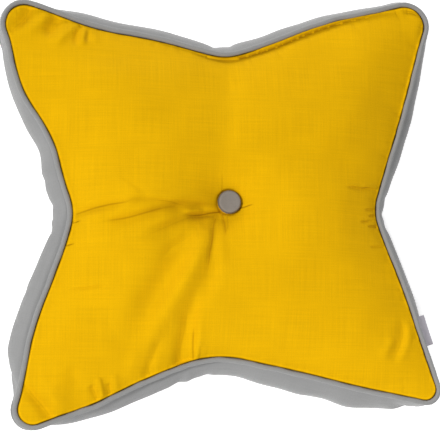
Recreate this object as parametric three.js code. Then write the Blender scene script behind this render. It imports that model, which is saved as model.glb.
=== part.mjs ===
// A star floor cushion lying on its back: four unequal points, a yellow top panel, a grey side band and
// underside, piping in both seams and a covered button drawn down in the middle.
// Millimetres, +Z up. The origin is on the surface it lies on, under the middle of its outline.
import * as THREE from "three";

// Cloth and trim
const PIPING_RADIUS = 3.3;
const PIPING_SIDES = 8;
const PANEL_THICKNESS = 1.8;
const CLEARANCE = 0.3;
const UNDER_PANEL = 0.45;
const SEAM_OFFSET = PIPING_RADIUS + CLEARANCE;

// Heights above the surface
const LOW_SEAM = 12;
const HIGH_SEAM = 72;
const CROWN = 43;
const CROWN_POWER = 0.75;
const EDGE_DROP = 0.5;
// How quickly the extra spread of the seams at a tip dies away along a side and towards the middle
const SPREAD_POWER = 3;
const SPREAD_INWARD_POWER = 2;

// The tuft that the two buttons draw in
const BUTTON_RADIUS = 17;
const BUTTON_HEIGHT = 9.2;
const BUTTON_SEAT = BUTTON_RADIUS + CLEARANCE;
const TUFT_DEPTH = 36;
const TUFT_RADIUS = 122;
const TUFT_POWER = 2.2;
const BACK_BUTTON_HEIGHT = 6.5;
const BACK_HOLLOW_DEPTH = 9.8;
const BACK_HOLLOW_SEAT = 20;
const BACK_HOLLOW_RADIUS = 50;
const BACK_HOLLOW_SLOPE = 0.42;
const BUTTON_SEGMENTS = 28;
// Half the section of a covered button, as shares of its radius and height: flat back, rolled rim, low dome
const BUTTON_PROFILE = [
  { out: 0, up: 0 },
  { out: 0.84, up: 0 },
  { out: 1, up: 0.24 },
  { out: 0.96, up: 0.52 },
  { out: 0.76, up: 0.8 },
  { out: 0.4, up: 0.96 },
  { out: 0, up: 1 },
];

// The blank tab sewn into the side that follows LABEL_SIDE, from one share of that side to the other
const LABEL_SIDE = "lower right tip";
const LABEL_START = 0.232;
const LABEL_END = 0.415;
const LABEL_THICKNESS = 1.2;
const LABEL_STEPS = 5;
const LABEL_SECTION = [
  { out: 2.7, up: -3.3 },
  { out: 7.2, up: -6.6 },
  { out: 12, up: -10 },
  { out: 17, up: -13 },
];

// Rows of values with named columns
function table(columns, rows) {
  return rows.map((row) => Object.fromEntries(columns.map((column, i) => [column, row[i]])));
}

// The corners of the seam line, anticlockwise from above, measured from the middle of the button.
// radius rounds the corner. bow, sway, sideSwell and steps are for the side that follows it: how far its
// middle stands out, how far its halves swing to either side, how much more the side band swells there than
// at its ends, and its number of stations. swell is how far the side band stands out past the piping at
// the corner, and spread is how much further apart the two seams are there.
const CORNERS = table(
  ["name", "x", "y", "radius", "bow", "sway", "swell", "sideSwell", "spread", "steps"],
  [
    ["right hollow", 209, -7, 67, 2, 0, 16, 5, 0, 6],
    ["upper right tip", 301.5, 309.5, 28, 7, 1, 13, 0, 9, 6],
    ["upper hollow", -3, 205.5, 89, -4.5, 3.5, 19, 7, 0, 6],
    ["upper left tip", -328.5, 279, 27, 1.5, 8.5, 6, 4, 12, 7],
    ["left hollow", -211, -17.5, 81, 7, -1.5, 21, 11, 0, 8],
    ["lower left tip", -295, -320, 20.5, 2.5, 2, 2.5, 6, 13, 9],
    ["lower hollow", -23.5, -206.5, 155, 0.5, -1, 20, 9.5, 0, 7],
    ["lower right tip", 302.5, -276.5, 16, 3, -0.5, 7, 5, 12, 6],
  ],
);
const TIP_STATIONS = 6;
const HOLLOW_STATIONS = 4;

// Main folds of the top panel, measured from the middle of the button: where each starts and ends, how
// deep it goes (a negative depth is a ridge) and how wide it is to either side
const FOLDS = table(
  ["name", "x1", "y1", "x2", "y2", "depth", "width"],
  [
    ["main pleat left of the button", -34, -17, -112, -46, 4, 9],
    ["long trough to the lower seam", -36, -70, -80, -212, 5.5, 13],
    ["ridge left of the long trough", -56, -76, -114, -184, -3.5, 15],
    ["trough under the button", -22, -30, -32, -94, 3, 8],
    ["ridge to the lower seam", -30, -95, -48, -205, -3, 11],
    ["soft trough, lower left", -90, -84, -136, -154, 4, 15],
    ["fold from the left hollow", -211, -24, -148, -5, 4, 10],
    ["fold towards the button", -168, -31, -82, -10, 3.5, 9],
    ["dent in the upper left tip", -300, 232, -236, 238, 5, 12],
    ["dent across the lower left tip", -272, -262, -246, -288, 6, 10],
    ["ridge behind that dent", -262, -249, -234, -282, -3, 9],
    ["trough in the lower right arm", 232, -168, 212, -202, 4, 12],
  ],
);

// How far out from the middle each ring of points lies, as shares of the way to the seam
const TOP_RINGS = [0, 0.06, 0.14, 0.24, 0.36, 0.5, 0.64, 0.78, 0.9, 0.965, 1];
const FLOOR_RINGS = [0, 0.3, 0.6, 0.82, 0.92, 0.97];
const FLAT_SHARE = 0.82;
// Folds run out just before the seam, which holds the cloth straight
const FOLD_FADE_POWER = 12;
// Heights on the side band, as shares of the way down from the upper seam to the lower one
const BAND_RINGS = [0.97, 0.86, 0.7, 0.52, 0.34, 0.18, 0.05];
// The side band's section: widest a little below its middle, and fuller than a half sine
const BAND_LEAN = 0.93;
const BAND_FULLNESS = 0.85;

// Where the filled body passes each seam, measured from the middle of the piping
const BODY_RIM = { out: -3.9, up: 2.75 };
const BODY_SEAM = { out: -1.5, up: 4 };

const RELAXING_SWEEPS = 900;
const OVER_RELAXATION = 1.85;

const yellowCotton = { color: 0xe4af0a, roughness: 0.9, metalness: 0 };
const greyCotton = { color: 0xa9a8a5, roughness: 0.9, metalness: 0 };
const buttonCotton = { color: 0x91877d, roughness: 0.85, metalness: 0 };
const labelTape = { color: 0x96919b, roughness: 0.8, metalness: 0 };

const wrapped = (list, i) => list[(i + list.length) % list.length];
const bell = (share) => Math.sin(Math.PI * share);

// The rounded corner: where its arc begins and ends, its centre and the angle that it sweeps
function cornerArc(index) {
  const corner = CORNERS[index];
  const at = new THREE.Vector2(corner.x, corner.y);
  const before = wrapped(CORNERS, index - 1);
  const after = wrapped(CORNERS, index + 1);
  const back = new THREE.Vector2(before.x, before.y).sub(at).normalize();
  const ahead = new THREE.Vector2(after.x, after.y).sub(at).normalize();
  const half = Math.acos(THREE.MathUtils.clamp(back.dot(ahead), -1, 1)) / 2;
  const reach = corner.radius / Math.tan(half);
  const middle = back.clone().add(ahead).normalize().multiplyScalar(corner.radius / Math.sin(half)).add(at);
  const start = back.multiplyScalar(reach).add(at);
  const end = ahead.multiplyScalar(reach).add(at);
  const from = start.clone().sub(middle).angle();
  let sweep = end.clone().sub(middle).angle() - from;
  if (sweep > Math.PI) sweep -= 2 * Math.PI;
  if (sweep < -Math.PI) sweep += 2 * Math.PI;
  return { start, end, middle, from, sweep };
}

const ARCS = CORNERS.map((corner, index) => cornerArc(index));

// A point of the seam line on the side that follows a corner
function sidePoint(index, share) {
  const corner = CORNERS[index];
  const start = ARCS[index].end;
  const along = wrapped(ARCS, index + 1).start.clone().sub(start);
  const outward = new THREE.Vector2(along.y, -along.x).normalize();
  const offset = corner.bow * bell(share) ** 2 + corner.sway * Math.sin(2 * Math.PI * share) * bell(share);
  return start.clone().addScaledVector(along, share).addScaledVector(outward, offset);
}

function sideValues(index, share) {
  const corner = CORNERS[index];
  const next = wrapped(CORNERS, index + 1);
  return {
    swell: THREE.MathUtils.lerp(corner.swell, next.swell, share) + corner.sideSwell * bell(share),
    spread: corner.spread * (1 - share) ** SPREAD_POWER + next.spread * share ** SPREAD_POWER,
  };
}

// The stations round the star: a point of the seam line, the way out from it, and the side band's values
function starStations() {
  const stations = [];
  CORNERS.forEach((corner, index) => {
    const { middle, from, sweep } = ARCS[index];
    const count = sweep > 0 ? TIP_STATIONS : HOLLOW_STATIONS;
    for (let i = 0; i < count; i++) {
      const angle = from + (sweep * i) / (count - 1);
      const spoke = new THREE.Vector2(Math.cos(angle), Math.sin(angle));
      const point = spoke.multiplyScalar(corner.radius).add(middle);
      stations.push({ point, swell: corner.swell, spread: corner.spread });
    }
    for (let i = 1; i <= corner.steps; i++) {
      const share = i / (corner.steps + 1);
      stations.push({ point: sidePoint(index, share), ...sideValues(index, share) });
    }
  });
  stations.forEach((station, i) => {
    const along = wrapped(stations, i + 1).point.clone().sub(wrapped(stations, i - 1).point).normalize();
    station.outward = new THREE.Vector2(along.y, -along.x);
  });
  return stations;
}

const STATIONS = starStations();
const highSeam = (station) => HIGH_SEAM + station.spread / 2;
const lowSeam = (station) => LOW_SEAM - station.spread / 2;

// Rings of points. Each ring runs anticlockwise seen from above, with one point for each station.
const ringOf = (place) => STATIONS.map(place);

// A ring that follows the seam line at a distance out from the piping's middle
function seamRing(out, heightAt) {
  return ringOf((station) => {
    const p = station.point.clone().addScaledVector(station.outward, SEAM_OFFSET + out);
    return new THREE.Vector3(p.x, p.y, heightAt(station));
  });
}

// A ring part of the way from a circle round the middle to the seam line
function inwardRing(share, circle, heightAt) {
  return ringOf((station, i) => {
    const reach = THREE.MathUtils.lerp(circle, station.point.length(), share);
    const p = station.point.clone().setLength(reach);
    return new THREE.Vector3(p.x, p.y, heightAt(p, station, i));
  });
}

// The faces between neighbouring rings. With a first and a last point they close at both ends, and
// without them the last ring joins the first. From ring number turn on the rings run inwards, and the
// quads are cut the other way, so that two layers of the panel keep the same creases.
function ringFaces(ringCount, size, ends, turn) {
  const faces = [];
  const quads = ends ? ringCount - 1 : ringCount;
  for (let k = 0; k < quads; k++)
    for (let i = 0; i < size; i++) {
      const j = (i + 1) % size;
      const low = k * size;
      const high = ((k + 1) % ringCount) * size;
      if (k < turn) faces.push([low + i, low + j, high + j], [low + i, high + j, high + i]);
      else faces.push([low + i, low + j, high + i], [low + j, high + j, high + i]);
    }
  if (!ends) return faces;
  const first = ringCount * size;
  const last = (ringCount - 1) * size;
  for (let i = 0; i < size; i++) {
    const j = (i + 1) % size;
    faces.push([first, j, i], [first + 1, last + i, last + j]);
  }
  return faces;
}

const middleOf = (ring) => ring.reduce((sum, p) => sum.add(p), new THREE.Vector3()).divideScalar(ring.length);

// A closed body through its rings
function skin(rings, ends = null, turn = rings.length) {
  const points = rings.flat();
  if (ends) points.push(...ends);
  const geometry = new THREE.BufferGeometry().setFromPoints(points);
  geometry.setIndex(ringFaces(rings.length, rings[0].length, ends !== null, turn).flat());
  geometry.computeVertexNormals();
  return geometry;
}

// Height of a film blown up over the star, 0 on the seam and 1 at its highest, ring by ring. Each free
// point is relaxed to the weighted mean of its neighbours plus the push on its own area.
function filmHeights() {
  const rings = TOP_RINGS.map((share) => inwardRing(share, BUTTON_SEAT, () => 0));
  const points = rings.flat();
  const size = STATIONS.length;
  const free = points.length - size;
  const middle = points.length;
  points.push(new THREE.Vector3());
  const links = points.map(() => new Map());
  const areas = points.map(() => 0);
  const between = 2 * size * (rings.length - 1);
  const faces = ringFaces(rings.length, size, false, rings.length).slice(0, between);
  for (let i = 0; i < size; i++) faces.push([middle, i, (i + 1) % size]);
  for (const face of faces)
    for (let c = 0; c < 3; c++) {
      const [a, b, d] = [face[c], face[(c + 1) % 3], face[(c + 2) % 3]];
      const u = points[b].clone().sub(points[a]);
      const v = points[d].clone().sub(points[a]);
      const doubleArea = u.clone().cross(v).length();
      const weight = u.dot(v) / doubleArea;
      links[b].set(d, (links[b].get(d) ?? 0) + weight);
      links[d].set(b, (links[d].get(b) ?? 0) + weight);
      areas[a] += doubleArea / 6;
    }
  const heights = points.map(() => 0);
  const moving = [...Array(free).keys(), middle];
  for (let sweep = 0; sweep < RELAXING_SWEEPS; sweep++)
    for (const p of moving) {
      let pull = areas[p];
      let weights = 0;
      for (const [other, weight] of links[p]) {
        pull += weight * heights[other];
        weights += weight;
      }
      heights[p] += OVER_RELAXATION * (pull / weights - heights[p]);
    }
  const highest = Math.max(...heights);
  return rings.map((ring, k) => ring.map((p, i) => heights[k * size + i] / highest));
}

const FILM = filmHeights();

// How far the folds lower the panel at a point
function foldDepth(p) {
  return FOLDS.reduce((sum, fold) => {
    const start = new THREE.Vector2(fold.x1, fold.y1);
    const along = new THREE.Vector2(fold.x2, fold.y2).sub(start);
    const from = p.clone().sub(start);
    const share = from.dot(along) / along.lengthSq();
    const aside = Math.abs(from.cross(along)) / along.length();
    const overrun = Math.max(0, -share, share - 1) * along.length();
    const fade = Math.exp(-((Math.hypot(aside, overrun) / fold.width) ** 2));
    return sum + fold.depth * fade;
  }, 0);
}

function tuftDepth(p) {
  const share = THREE.MathUtils.clamp(1 - (p.length() - BUTTON_SEAT) / (TUFT_RADIUS - BUTTON_SEAT), 0, 1);
  return TUFT_DEPTH * share ** TUFT_POWER;
}

// Ring number k of the top panel's upper face, let down by a number of millimetres
function topRing(k, down) {
  const share = TOP_RINGS[k];
  return inwardRing(share, BUTTON_SEAT, (p, station, i) => {
    const base = THREE.MathUtils.lerp(HIGH_SEAM, highSeam(station), share ** SPREAD_INWARD_POWER) - EDGE_DROP;
    const folds = share > 0 ? foldDepth(p) * (1 - share ** FOLD_FADE_POWER) : 0;
    return base + CROWN * FILM[k][i] ** CROWN_POWER - tuftDepth(p) - folds - down;
  });
}

// The seat of the button is level: all of it takes the height of its mean
function topRings(down) {
  const rings = TOP_RINGS.map((share, k) => topRing(k, down));
  const seat = middleOf(rings[0]).z;
  rings[0].forEach((p) => (p.z = seat));
  return rings;
}

const seatHeight = () => topRings(0)[0][0].z;

// The filled body: the underside from its middle out to the lower seam, the side band, then the crown
function filledBody() {
  const hollow = [
    { radius: BACK_HOLLOW_SEAT, height: BACK_HOLLOW_DEPTH },
    { radius: (BACK_HOLLOW_SEAT + BACK_HOLLOW_RADIUS) / 2, height: BACK_HOLLOW_DEPTH * BACK_HOLLOW_SLOPE },
  ].map(({ radius, height }) => inwardRing(0, radius, () => height));
  const underside = FLOOR_RINGS.map((share) =>
    inwardRing(share, BACK_HOLLOW_RADIUS, (p, station) => {
      const rise = Math.max(0, (share - FLAT_SHARE) / (1 - FLAT_SHARE));
      return (lowSeam(station) - EDGE_DROP) * (1 - Math.sqrt(1 - rise ** 2));
    }),
  );
  const lowRim = [
    seamRing(BODY_RIM.out - CLEARANCE, (s) => lowSeam(s) - EDGE_DROP),
    seamRing(BODY_RIM.out, (s) => lowSeam(s) + BODY_RIM.up),
    seamRing(BODY_SEAM.out, (s) => lowSeam(s) + BODY_SEAM.up),
  ];
  const band = BAND_RINGS.map((share) =>
    ringOf((station) => {
      const out = SEAM_OFFSET + station.swell * bell(share ** BAND_LEAN) ** BAND_FULLNESS;
      const p = station.point.clone().addScaledVector(station.outward, out);
      const top = highSeam(station) - BODY_SEAM.up;
      const foot = lowSeam(station) + BODY_SEAM.up;
      return new THREE.Vector3(p.x, p.y, THREE.MathUtils.lerp(top, foot, share));
    }),
  );
  const highRim = [
    seamRing(BODY_SEAM.out, (s) => highSeam(s) - BODY_SEAM.up),
    seamRing(BODY_RIM.out, (s) => highSeam(s) - BODY_RIM.up),
  ];
  const crown = topRings(PANEL_THICKNESS + UNDER_PANEL).reverse().slice(1);
  const rings = [...hollow, ...underside, ...lowRim, ...band, ...highRim, ...crown];
  const ends = [new THREE.Vector3(0, 0, BACK_HOLLOW_DEPTH), new THREE.Vector3(0, 0, crown.at(-1)[0].z)];
  return skin(rings, ends, rings.length - crown.length - 1);
}

// The yellow panel: its underside outwards to the seam, then its upper face back to the middle
function topPanel() {
  const under = topRings(PANEL_THICKNESS);
  const over = topRings(0).reverse();
  const ends = [new THREE.Vector3(0, 0, under[0][0].z), new THREE.Vector3(0, 0, over.at(-1)[0].z)];
  return skin([...under, ...over], ends, under.length - 1);
}

function piping(heightAt) {
  const rings = Array.from({ length: PIPING_SIDES }, (_, side) => {
    const angle = (2 * Math.PI * (side - PIPING_SIDES / 4)) / PIPING_SIDES;
    const rise = PIPING_RADIUS * Math.sin(angle);
    return seamRing(PIPING_RADIUS * Math.cos(angle), (station) => heightAt(station) + rise);
  });
  return skin(rings);
}

function button(height) {
  const profile = BUTTON_PROFILE.map(({ out, up }) => new THREE.Vector2(out * BUTTON_RADIUS, up * height));
  return new THREE.LatheGeometry(profile, BUTTON_SEGMENTS).rotateX(Math.PI / 2);
}

// The tab: a doubled tape that leaves the upper seam under the piping and lies out over the side band
function label() {
  const index = CORNERS.findIndex((corner) => corner.name === LABEL_SIDE);
  const rings = Array.from({ length: LABEL_STEPS }, (_, step) => {
    const share = THREE.MathUtils.lerp(LABEL_START, LABEL_END, step / (LABEL_STEPS - 1));
    const at = sidePoint(index, share);
    const along = sidePoint(index, share + 0.01).sub(sidePoint(index, share - 0.01)).normalize();
    const outward = new THREE.Vector2(along.y, -along.x);
    const seam = HIGH_SEAM + sideValues(index, share).spread / 2;
    const place = ({ out, up }, lift) => {
      const p = at.clone().addScaledVector(outward, SEAM_OFFSET + out);
      return new THREE.Vector3(p.x, p.y, seam + up + lift);
    };
    const over = LABEL_SECTION.map((point) => place(point, LABEL_THICKNESS / 2));
    const under = LABEL_SECTION.map((point) => place(point, -LABEL_THICKNESS / 2));
    return [...over, ...under.reverse()];
  });
  return skin(rings, [middleOf(rings[0]), middleOf(rings.at(-1))]);
}

const part = new THREE.Group();
part.name = "star_floor_cushion";

function addPiece(name, geometry, look, x = 0, y = 0, z = 0) {
  const mesh = new THREE.Mesh(geometry, new THREE.MeshStandardMaterial(look));
  mesh.name = name;
  mesh.position.set(x, y, z);
  part.add(mesh);
  return mesh;
}

addPiece("filled_body", filledBody(), greyCotton);
addPiece("top_panel", topPanel(), yellowCotton);
addPiece("top_piping", piping(highSeam), greyCotton);
addPiece("bottom_piping", piping(lowSeam), greyCotton);
addPiece("top_button", button(BUTTON_HEIGHT), buttonCotton, 0, 0, seatHeight() + CLEARANCE);
const backButton = addPiece("back_button", button(BACK_BUTTON_HEIGHT), buttonCotton);
backButton.rotation.x = Math.PI;
backButton.position.z = BACK_HOLLOW_DEPTH - CLEARANCE;
addPiece("side_label", label(), labelTape);

// The origin goes from the button to the middle of the outline
const outline = new THREE.Box3().setFromObject(part, true);
const centre = outline.getCenter(new THREE.Vector3());
part.children.forEach((mesh) => mesh.position.sub(new THREE.Vector3(centre.x, centre.y, 0)));

export default part;
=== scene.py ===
import math
import bpy
import numpy as np
from mathutils import Matrix, Vector
from mathutils.bvhtree import BVHTree
from mathutils.geometry import delaunay_2d_cdt


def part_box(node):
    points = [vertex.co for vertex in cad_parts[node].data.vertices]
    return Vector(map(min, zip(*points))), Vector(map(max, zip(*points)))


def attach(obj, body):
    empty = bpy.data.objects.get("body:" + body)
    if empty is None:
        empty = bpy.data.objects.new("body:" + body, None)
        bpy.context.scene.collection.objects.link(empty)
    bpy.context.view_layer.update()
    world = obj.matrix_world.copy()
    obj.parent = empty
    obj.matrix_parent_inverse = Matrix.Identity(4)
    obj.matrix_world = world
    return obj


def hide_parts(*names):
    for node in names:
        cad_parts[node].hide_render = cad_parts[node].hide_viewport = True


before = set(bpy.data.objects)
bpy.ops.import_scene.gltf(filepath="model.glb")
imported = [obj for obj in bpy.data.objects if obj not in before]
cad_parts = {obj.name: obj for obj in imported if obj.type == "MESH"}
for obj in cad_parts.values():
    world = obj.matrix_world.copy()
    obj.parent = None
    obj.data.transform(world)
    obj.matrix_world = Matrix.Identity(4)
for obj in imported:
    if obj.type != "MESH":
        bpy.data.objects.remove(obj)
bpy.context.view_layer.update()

# Everything is in metres. Tables are written in millimetres, and MM turns them into metres.
MM = 0.001

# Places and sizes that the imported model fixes
BUTTON_LOW, BUTTON_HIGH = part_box("top_button")
PIPING_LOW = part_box("top_piping")[0]
MIDDLE = np.array([(BUTTON_LOW.x + BUTTON_HIGH.x) / 2, (BUTTON_LOW.y + BUTTON_HIGH.y) / 2])
BUTTON_RADIUS = (BUTTON_HIGH.x - BUTTON_LOW.x) / 2
PIPING_RADIUS = 3.3 * MM
CLEARANCE = 0.3 * MM
SEAM_OFFSET = PIPING_RADIUS + CLEARANCE
HIGH_SEAM = PIPING_LOW.z + PIPING_RADIUS
LOW_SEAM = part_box("bottom_piping")[1].z - PIPING_RADIUS

# The corners of the seam line, anticlockwise from above, measured from the middle of the button. bow, sway
# and side_swell are for the side that follows the corner. swell is how far the side band stands out past
# the piping, and spread is how much further apart the two seams are there.
CORNER_COLUMNS = ("x", "y", "radius", "bow", "sway", "swell", "side_swell", "spread")
CORNER_ROWS = (
    (209, -7, 67, 2, 0, 16, 5, 0),
    (301.5, 309.5, 28, 7, 1, 13, 0, 9),
    (-3, 205.5, 89, -4.5, 3.5, 19, 7, 0),
    (-328.5, 279, 27, 1.5, 8.5, 6, 4, 12),
    (-211, -17.5, 81, 7, -1.5, 21, 11, 0),
    (-295, -320, 20.5, 2.5, 2, 2.5, 6, 13),
    (-23.5, -206.5, 155, 0.5, -1, 20, 9.5, 0),
    (302.5, -276.5, 16, 3, -0.5, 7, 5, 12),
)
CORNERS = [dict(zip(CORNER_COLUMNS, (value * MM for value in row))) for row in CORNER_ROWS]

# Places on the seam line where the band stands out further or less far: x, y, half the length, how much
SWELL_ROWS = (
    (-207, 240, 42, 5),
    (-271, -209, 46, 5),
    (196, -262, 40, 3.5),
    (-288, 268, 26, 5),
    (-289, 150, 42, -4),
    (-250, 80, 32, -2.5),
)

# The yellow panel
SEAM_SPACING = 5 * MM
PANEL_SPACING = 5.6 * MM
PANEL_FINE_SPACING = 3.4 * MM
PANEL_FINE_RADIUS = 100 * MM
PANEL_EDGE_DROP = 0.6 * MM
PANEL_THICKNESS = 1.2 * MM
PANEL_SLACK = 1.012
TUFT_DEPTH = 36 * MM
TUFT_RADIUS = 122 * MM
TUFT_POWER = 2.2
SEAT_RADIUS = 16.5 * MM
LUMP_LENGTHS = (70 * MM, 190 * MM)
LUMP_HEIGHT = 0.7 * MM

# The grey body: the band round the side, the base below and the hidden crown under the panel
BAND_ROWS = 17
BAND_EDGE = -0.5 * MM
BAND_START = 3.9 * MM
BAND_HEIGHT = 70 * MM
BAND_SLACK = 1.01
BAND_SKEW = 0.93
BAND_ROUNDNESS = 0.85
GROOVE_OUT = -4.0 * MM
GROOVE_HEIGHT = 2.6 * MM
BASE_SPACING = 9 * MM
BASE_EDGE = -4.2 * MM
BASE_DROP = 0.5 * MM
BASE_BELLY = 0.5
BASE_SLACK = 1.012
BACK_HOLLOW_DEPTH = 9.8 * MM
BACK_HOLLOW_SEAT = 20 * MM
CROWN_SPACING = 12 * MM
CROWN_GAP = 2.6 * MM
CROWN_REACH = 7 * MM

# Small gathers that run off a seam: their spacing, depth and reach
PANEL_GATHERS = (15 * MM, 1.5 * MM, 20 * MM)
STRIP_GATHERS = (10.5 * MM, 2.4 * MM, 15 * MM)
BAND_GATHERS = (13 * MM, 0.8 * MM, 16 * MM)
BASE_GATHERS = (17 * MM, 1.6 * MM, 24 * MM)

# The simulation: what all three cloths share, then what each has for itself, and how far each may move
SIM_FRAMES = 26
CLOTH_SETTINGS = {
    "quality": 8,
    "mass": 0.3,
    "air_damping": 1.0,
    "tension_damping": 10,
    "compression_damping": 10,
    "shear_damping": 5,
    "bending_damping": 1.0,
    "use_pressure": True,
    "vertex_group_mass": "pinned",
}
CLOTH_VALUES = {
    "panel": {"pressure": 5.0, "tension": 15.0, "bending": 0.4},
    "band": {"pressure": 7.0, "tension": 15.0, "bending": 0.3},
    "base": {"pressure": 3.0, "tension": 15.0, "bending": 0.4},
}
CAPS = {"panel": 14 * MM, "band": 14 * MM, "base": 8 * MM}


def lerp(a, b, share):
    return a + (b - a) * share


def unit(v):
    return v / np.linalg.norm(v, axis=-1, keepdims=True)


def smoothstep(x, low, high):
    t = np.clip((x - low) / (high - low), 0, 1)
    return t * t * (3 - 2 * t)


def hump(x, width):
    return np.exp(-((x / width) ** 2))


def right_of(v):
    """The plan vectors turned a quarter to the right."""
    return np.stack([v[..., 1], -v[..., 0]], -1)


def wrapped(offset, length):
    """Distances along a closed line, each by the shorter way round."""
    return (offset + length / 2) % length - length / 2


# The seam line


def corner_arc(index):
    corner = CORNERS[index]
    at = np.array([corner["x"], corner["y"]])
    before = CORNERS[index - 1]
    after = CORNERS[(index + 1) % len(CORNERS)]
    back = unit(np.array([before["x"], before["y"]]) - at)
    ahead = unit(np.array([after["x"], after["y"]]) - at)
    half = math.acos(float(np.clip(back @ ahead, -1, 1))) / 2
    reach = corner["radius"] / math.tan(half)
    middle = at + unit(back + ahead) * corner["radius"] / math.sin(half)
    start, end = at + back * reach, at + ahead * reach
    first = math.atan2(*(start - middle)[::-1])
    sweep = (math.atan2(*(end - middle)[::-1]) - first + math.pi) % (2 * math.pi) - math.pi
    return {"start": start, "end": end, "middle": middle, "first": first, "sweep": sweep}


ARCS = [corner_arc(i) for i in range(len(CORNERS))]


def side_points(index, share):
    corner = CORNERS[index]
    start = ARCS[index]["end"]
    along = ARCS[(index + 1) % len(ARCS)]["start"] - start
    bell = np.sin(np.pi * share)
    offset = corner["bow"] * bell**2 + corner["sway"] * np.sin(2 * np.pi * share) * bell
    return start + share[:, None] * along + offset[:, None] * unit(right_of(along))


def side_spread(index, share):
    after = CORNERS[(index + 1) % len(CORNERS)]
    return CORNERS[index]["spread"] * (1 - share) ** 3 + after["spread"] * share**3


def closed_smooth(values, spread):
    """Values round a closed line, smoothed by a bell as wide as spread stations."""
    reach = np.arange(-int(3 * spread), int(3 * spread) + 1)
    bell = np.exp(-((reach / spread) ** 2) / 2)
    padded = np.concatenate([values[-len(reach):], values, values[: len(reach)]])
    return np.convolve(padded, bell / bell.sum(), "same")[len(reach):-len(reach)]


def extra_swell(place):
    total = np.zeros(len(place))
    for x, y, half, much in SWELL_ROWS:
        away = np.linalg.norm(place - np.array([x, y]) * MM, axis=1)
        total += much * MM * np.exp(-((away / (half * MM)) ** 2) * 0.8)
    return total


def star_line(spacing):
    """Even stations round the seam line: place, way out, distance along, and the side band's values."""
    points, swells, spreads = [], [], []
    for i, corner in enumerate(CORNERS):
        after = CORNERS[(i + 1) % len(CORNERS)]
        arc = ARCS[i]
        angle = arc["first"] + arc["sweep"] * np.linspace(0, 1, 60)
        round_it = np.stack([np.cos(angle), np.sin(angle)], 1) * corner["radius"]
        points.append(arc["middle"] + round_it)
        swells.append(np.full(len(angle), corner["swell"]))
        spreads.append(np.full(len(angle), corner["spread"]))
        share = np.linspace(0, 1, 202)[1:-1]
        points.append(side_points(i, share))
        bulge = lerp(corner["swell"], after["swell"], share) + corner["side_swell"] * np.sin(np.pi * share)
        swells.append(bulge)
        spreads.append(side_spread(i, share))
    points = np.concatenate(points)
    points = np.concatenate([points, points[:1]])
    swells, spreads = (np.concatenate(v + [v[0][:1]]) for v in (swells, spreads))
    run = np.concatenate([[0], np.cumsum(np.linalg.norm(np.diff(points, axis=0), axis=1))])
    count = int(round(run[-1] / spacing))
    along = np.arange(count) * run[-1] / count
    place = np.stack([np.interp(along, run, points[:, k]) for k in (0, 1)], 1)
    ahead = unit(np.roll(place, -1, 0) - np.roll(place, 1, 0))
    calm = 8 * MM / spacing
    return {
        "place": place + MIDDLE,
        "out": right_of(ahead),
        "along": along,
        "length": run[-1],
        "swell": closed_smooth(np.interp(along, run, swells), calm) + extra_swell(place),
        "spread": closed_smooth(np.interp(along, run, spreads), calm),
    }


def seam_ring(line, out, height):
    plan = line["place"] + line["out"] * np.reshape(SEAM_OFFSET + out, (-1, 1))
    return np.column_stack([plan, np.broadcast_to(height, len(plan))])


# Meshes


def new_object(name, points, faces):
    mesh = bpy.data.meshes.new(name)
    mesh.from_pydata([tuple(p) for p in points], [], faces)
    mesh.validate()
    obj = bpy.data.objects.new(name, mesh)
    bpy.context.scene.collection.objects.link(obj)
    return obj


def points_of(mesh):
    out = np.zeros(len(mesh.vertices) * 3)
    mesh.vertices.foreach_get("co", out)
    return out.reshape(-1, 3)


def set_points(mesh, points):
    mesh.vertices.foreach_set("co", np.asarray(points, np.float32).ravel())
    mesh.update()


def strip(low, high, count):
    """Quads between two rings of count points each, whose points are numbered from low and from high."""
    return [(low + i, low + (i + 1) % count, high + (i + 1) % count, high + i) for i in range(count)]


def final_mesh(obj, levels=0):
    """The object's mesh as its modifiers leave it, with that many levels of subdivision on top."""
    if levels:
        modifier = obj.modifiers.new("Subdivision", "SUBSURF")
        modifier.levels = levels
        modifier.render_levels = levels
        modifier.boundary_smooth = "PRESERVE_CORNERS"
        modifier.use_limit_surface = False
    graph = bpy.context.evaluated_depsgraph_get()
    mesh = bpy.data.meshes.new_from_object(obj.evaluated_get(graph))
    obj.modifiers.clear()
    obj.shape_key_clear()
    obj.data = mesh
    return mesh


def shade_smooth(obj):
    obj.data.polygons.foreach_set("use_smooth", [True] * len(obj.data.polygons))


def from_middle(plan):
    return np.linalg.norm(plan[:, :2] - MIDDLE, axis=1)


def triangle_grid(spacing, low, high):
    rise = spacing * math.sqrt(3) / 2
    rows = np.arange(low[1], high[1], rise)
    columns = np.arange(low[0], high[0], spacing)
    x = columns[None, :] + (np.arange(len(rows)) % 2)[:, None] * spacing / 2
    y = np.broadcast_to(rows[:, None], x.shape)
    return np.stack([x.ravel(), y.ravel()], 1)


def nearest_station(plan, ring):
    """The nearest point of the ring to each point, and how far off it is."""
    which, gap = [], []
    for block in np.array_split(plan, max(1, len(plan) // 4000)):
        away = ((block[:, None] - ring[None]) ** 2).sum(2)
        which.append(away.argmin(1))
        gap.append(np.sqrt(away.min(1)))
    return np.concatenate(which), np.concatenate(gap)


def inside(points, ring):
    after = np.roll(ring, -1, 0)
    x, y = points[:, :1], points[:, 1:]
    crosses = (ring[:, 1] > y) != (after[:, 1] > y)
    step = after[:, 1] - ring[:, 1]
    step = np.where(np.abs(step) < 1e-12, 1e-12, step)
    at = ring[:, 0] + (y - ring[:, 1]) * (after[:, 0] - ring[:, 0]) / step
    return (crosses & (x < at)).sum(1) % 2 == 1


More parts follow.
